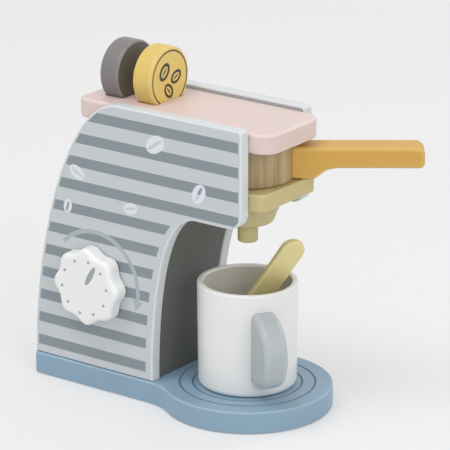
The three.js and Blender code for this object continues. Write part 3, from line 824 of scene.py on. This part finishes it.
def knobPrint(tree, colour):
    along, up = objectAxes(tree, "XZ")
    centre = middleOf("knob")

    def spot(degrees, reach, halfLength, halfWidth):
        angle = math.radians(degrees)
        return maskOf(tree, ovalGroup, along, up, centreU=centre.x + reach * math.cos(angle),
                      centreV=centre.z + reach * math.sin(angle), turn=angle,
                      halfLength=halfLength, halfWidth=halfWidth)

    pointer = knob["pointerDegrees"]
    marks = [spot(pointer, knob["pointerReach"], knob["pointerHalfLength"], knob["pointerHalfWidth"])]
    for index in range(knob["dots"]):
        degrees = pointer + 360 * (index + 0.5) / knob["dots"]
        marks.append(spot(degrees, knob["dotReach"], knob["dotRadius"], knob["dotRadius"]))
    return mixColour(tree, calcAll(tree, "MAXIMUM", marks), colour, knob["ink"])


def makeKnob():
    low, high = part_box("knob")
    centre = middleOf("knob")
    radius = (high.x - low.x) / 2 - knob["lobeDepth"]
    outline = []
    for step in range(knob["outlineSteps"]):
        angle = 2 * math.pi * step / knob["outlineSteps"]
        reach = radius + knob["lobeDepth"] * math.cos(knob["lobes"] * angle)
        outline.append((centre.x + reach * math.cos(angle), centre.z + reach * math.sin(angle)))
    bm = prismMesh(outline, low.y, high.y, True)
    frontEdges, rearEdges = [list(cap.edges) for cap in capsAlong(bm, yAxis)]
    easeEdges(bm, frontEdges, knob["frontEase"], segments=6)
    easeEdges(bm, rearEdges, knob["rearEase"], segments=3)
    knobPaint = paint("knobPrint", (243, 243, 241), (250, 250, 249), knobPrint, bump=0.2, coat=(0.2, 0.25),
                      edgeShare=0.4, cloudShare=0.03, roughness=0.38, streakScale=(60, 60, 60),
                      streakShare=0.02)
    finishPiece("painted_knob", bm, "knob", "dial", "white_paint", knobPaint)


makeKnob()
print("knob made")


# Cup with its solid handle
cup = {"wall": 0.0044, "floor": 0.008, "footTaper": 0.0008, "footEase": 0.0034, "rimEase": 0.0014,
       "innerEase": 0.005}
cupHandle = {"thickness": 0.017, "height": 0.0524, "drop": 0.012, "rootInset": 0.0039, "reach": 0.0305,
             "bowShare": 0.75, "ease": 0.0044, "degrees": -36}


def makeCup():
    low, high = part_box("cup")
    rim, foot = high.x, high.x - cup["footTaper"]
    footEase, rimEase, innerEase = cup["footEase"], cup["rimEase"], cup["innerEase"]
    floorZ = low.z + cup["floor"]
    innerFoot, innerRim = foot - cup["wall"], rim - cup["wall"]
    profile = ([(0, low.z)]
               + arcPoints(foot - footEase, low.z + footEase, footEase, -90, 0, steps=8)
               + arcPoints(rim - rimEase, high.z - rimEase, rimEase, 0, 90, steps=5)
               + arcPoints(innerRim + rimEase, high.z - rimEase, rimEase, 90, 180, steps=5)
               + arcPoints(innerFoot - innerEase, floorZ + innerEase, innerEase, 0, -90, steps=8)
               + [(0, floorZ)])
    bm = turnedMesh(profile, steps=144)
    # Pale rim paint: thin paint and partly a painted highlight
    markEased(bm, lambda vert: vert.co.z > high.z - rimEase + hair)
    # Faces inside the cup take the darker white, a painted shade
    for face in bm.faces:
        middle = face.calc_center_median()
        if middle.xy.length < innerRim and middle.z > floorZ - hair:
            face.material_index = 1
    finishPiece("painted_cup", bm, "cup", "cup_set", "white_paint", whitePaint, cupInnerShadePaint)


def makeCupHandle():
    low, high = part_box("cup")
    top = high.z - cupHandle["drop"]
    foot = top - cupHandle["height"]
    rootEnd = high.x - cupHandle["rootInset"]
    start = rootEnd - 2 * cupHandle["ease"]
    root = high.x - cup["footTaper"]
    reach = root + cupHandle["reach"] / cupHandle["bowShare"]
    outline = ([(start, foot)]
               + curvePoints((root, foot), (reach, foot), (reach, top), (root, top), steps=48)
               + [(start, top)])
    half = cupHandle["thickness"] / 2
    bm = boardMesh(outline, -half, half, True, cupHandle["ease"], segments=5)
    trimPast(bm, xAxis * rootEnd, -xAxis)
    bmesh.ops.transform(bm, matrix=rotation(cupHandle["degrees"], "Z"), verts=bm.verts)
    finishPiece("painted_cup_handle", bm, "cup_handle", "cup_set", "cup_grey_paint", cupGreyPaint)


makeCup()
makeCupHandle()
print("cup made")


# Flat wooden spoon
spoon = {"length": 0.113, "width": 0.017, "thickness": 0.0055, "ease": 0.0015, "tilt": 32.5, "heading": 18,
         "twist": 218, "foot": (-0.0244, -0.0062, 0.0261)}


def makeSpoon():
    half, depth = spoon["width"] / 2, spoon["thickness"] / 2
    outline = (arcPoints(0, spoon["length"] - half, half, 0, 180, steps=24)
               + arcPoints(0, half, half, 180, 360, steps=24))
    bm = boardMesh(outline, -depth, depth, True, spoon["ease"])
    place = (Matrix.Translation(spoon["foot"]) @ rotation(spoon["heading"], "Z")
             @ rotation(spoon["tilt"], "Y") @ rotation(spoon["twist"], "Z"))
    bmesh.ops.transform(bm, matrix=place, verts=bm.verts)
    finishPiece("painted_spoon", bm, "spoon", "stirrer", "olive_paint", spoonPaint)


makeSpoon()
print("spoon made")


# Coffee pods: turned discs, the yellow one printed with a ring and beans
pods = {"ease": 0.002, "ringRadius": 0.0191, "ringHalfWidth": 0.00055, "ink": rgb(56, 46, 32),
        "flatLeast": 0.9}
# Printed beans: place along y and z from the middle, half length, turn in radians
podBeans = [(-0.0058, 0.0054, 0.0068, 0.85), (0.0070, -0.0004, 0.0061, 0.45),
            (-0.0012, -0.0088, 0.0060, 2.25)]
podBeanShares = [(1.0, 0.72), (0.66, 0.4), (0.55, 0.1)]  # outline, pale core and slit


def podPrint(tree, colour):
    centre = middleOf("pod_yellow")
    across, up = objectAxes(tree, "YZ")
    ring = maskOf(tree, ringGroup, across, up, centreV=centre.z, radius=pods["ringRadius"],
                  halfWidth=pods["ringHalfWidth"])
    beans = [(u, centre.z + v, half, turn) for u, v, half, turn in podBeans]
    body, core, slit = beanMasks(tree, across, up, beans, podBeanShares)
    pale = calc(tree, "MULTIPLY", core, calc(tree, "SUBTRACT", 1.0, slit))
    ink = calc(tree, "MAXIMUM", ring, calc(tree, "MULTIPLY", body, calc(tree, "SUBTRACT", 1.0, pale)))
    return mixColour(tree, ink, colour, pods["ink"])


def makePod(node, body, slot, rimPaint, facePaint, bothFaces):
    low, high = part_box(node)
    centre = middleOf(node)
    radius, half, ease = (high.z - low.z) / 2, (high.x - low.x) / 2, pods["ease"]
    profile = ([(0, -half)]
               + arcPoints(radius - ease, ease - half, ease, -90, 0, steps=5)
               + arcPoints(radius - ease, half - ease, ease, 0, 90, steps=5)
               + [(0, half)])
    bm = turnedMesh(profile, steps=112, centre=centre, axis=xAxis)

    def onRim(vert):
        off = vert.co - centre
        return off.yz.length > radius - ease + hair and abs(off.x) > half - ease + hair

    # Pale rim paint: thin paint and partly a painted highlight
    markEased(bm, onRim)
    for face in bm.faces:
        if abs(face.normal.x) > pods["flatLeast"] and (bothFaces or face.calc_center_median().x > centre.x):
            face.material_index = 1
    finishPiece("painted_" + node, bm, node, body, slot, rimPaint, facePaint)


podPaint = paint("podPrint", (233, 204, 112), (242, 218, 140), podPrint, coat=(0.15, 0.3), cloudShare=0.05,
                 roughness=0.42, streakScale=(40, 500, 500))
makePod("pod_grey", "grey_pod", "pod_grey_paint", podGreyPaint, podDarkPaint, True)
makePod("pod_yellow", "yellow_pod", "pod_yellow_paint", podYellowPaint, podPaint, False)
print("pods made")


# The frame's own dowels and metal parts keep their solids and get a finish
for name, node in nodes.items():
    if any(word in name for word in ("dowel", "screw", "bolt", "washer", "nut")):
        node.data.materials.clear()
        node.data.materials.append(bareTimber if "dowel" in name else zincPlate)
print("hidden parts finished")


# Studio: pale floor, soft key from the upper left, and the camera of the photograph
studio = {
    "azimuth": 36.3, "elevation": 18.6, "distance": 2.2, "lookAt": (0, 0, 0.1),
    "pixelsPerMetre": 1466, "aimPixel": (247.8, 266.0), "framePixels": 450, "sensor": 36.0,
    "floor": rgb(232, 232, 233), "floorCloud": rgb(220, 220, 222), "cloudScale": 3, "cloudShare": 0.04,
    "seenFloor": rgb(196, 196, 196), "floorGlow": 0.315, "floorRoughness": 0.9,
    "floorHalfSize": 12, "floorDrop": 0.0002,
    "sky": (1.0, 1.0, 1.0, 1), "skyStrength": 0.62, "backdrop": rgb(236, 236, 237),
}
lamps = {
    "key": {"place": (-0.4, -1.0, 2.5), "size": 1.4, "watts": 21},
    "fill": {"place": (1.9, -1.0, 1.3), "size": 1.6, "watts": 13},
    "back": {"place": (0.4, 1.9, 1.6), "size": 1.2, "watts": 6},
}


def placeAndAim(thing, place, target):
    thing.location = place
    direction = Vector(target) - Vector(place)
    thing.rotation_euler = direction.to_track_quat("-Z", "Y").to_euler()


def makeLamp(name, place, size, watts):
    lamp = bpy.data.lights.new(name, "AREA")
    lamp.shape = "DISK"
    lamp.size = size
    lamp.energy = watts
    placeAndAim(addObject(name, lamp), place, studio["lookAt"])


def seenShare(tree):
    # 1 for what the camera and reflections see, 0 for what lights the pieces
    paths = addNode(tree, "LightPath").outputs
    return calc(tree, "MAXIMUM", paths["Is Camera Ray"], paths["Is Glossy Ray"])


def makeFloor():
    material, tree, shader = startMaterial("floorPaint")
    seen = seenShare(tree)
    cloud = noise(tree, objectPlace(tree), studio["cloudScale"], detail=2)
    clouded = mixColour(tree, calc(tree, "MULTIPLY", cloud, studio["cloudShare"]), studio["floor"],
                        studio["floorCloud"])
    setInputs(tree, shader, {
        "Base Color": mixColour(tree, seen, clouded, studio["seenFloor"]),
        "Roughness": studio["floorRoughness"], "Emission Color": (1, 1, 1, 1),
        "Emission Strength": calc(tree, "MULTIPLY", seen, studio["floorGlow"])})
    bm = bmesh.new()
    drop = Matrix.Translation((0, 0, -studio["floorDrop"]))  # keeps it clear of the base's underside
    bmesh.ops.create_grid(bm, x_segments=1, y_segments=1, size=studio["floorHalfSize"], matrix=drop)
    addMesh("studio_floor", bm, [material])


def makeSky():
    world = bpy.data.worlds.new("studioSky")
    bpy.context.scene.world = world
    world.use_nodes = True
    tree = world.node_tree
    tree.nodes.clear()
    light = addNode(tree, "Background", {"Color": studio["sky"], "Strength": studio["skyStrength"]})
    shown = addNode(tree, "Background", {"Color": studio["backdrop"], "Strength": 1.0})
    mixed = addNode(tree, "MixShader", {0: seenShare(tree), 1: light.outputs[0], 2: shown.outputs[0]})
    addNode(tree, "OutputWorld", {"Surface": mixed.outputs[0]})


def makeCamera():
    angle, rise = math.radians(studio["azimuth"]), math.radians(studio["elevation"])
    back = Vector((math.sin(angle) * math.cos(rise), -math.cos(angle) * math.cos(rise), math.sin(rise)))
    right = Vector((math.cos(angle), math.sin(angle), 0))
    up = back.cross(right)
    middle = studio["framePixels"] / 2
    offU = (middle - studio["aimPixel"][0]) / studio["pixelsPerMetre"]
    offV = (studio["aimPixel"][1] - middle) / studio["pixelsPerMetre"]
    centre = Vector(studio["lookAt"]) + right * offU + up * offV
    camera = bpy.data.cameras.new("studioCamera")
    camera.sensor_width = studio["sensor"]
    camera.lens = studio["sensor"] * studio["distance"] * studio["pixelsPerMetre"] / studio["framePixels"]
    thing = addObject("studioCamera", camera)
    placeAndAim(thing, centre + back * studio["distance"], centre)
    bpy.context.scene.camera = thing


makeFloor()
makeSky()
makeCamera()
for name, lamp in lamps.items():
    makeLamp(name, **lamp)
bpy.context.scene.view_settings.view_transform = "Standard"
print("studio made")
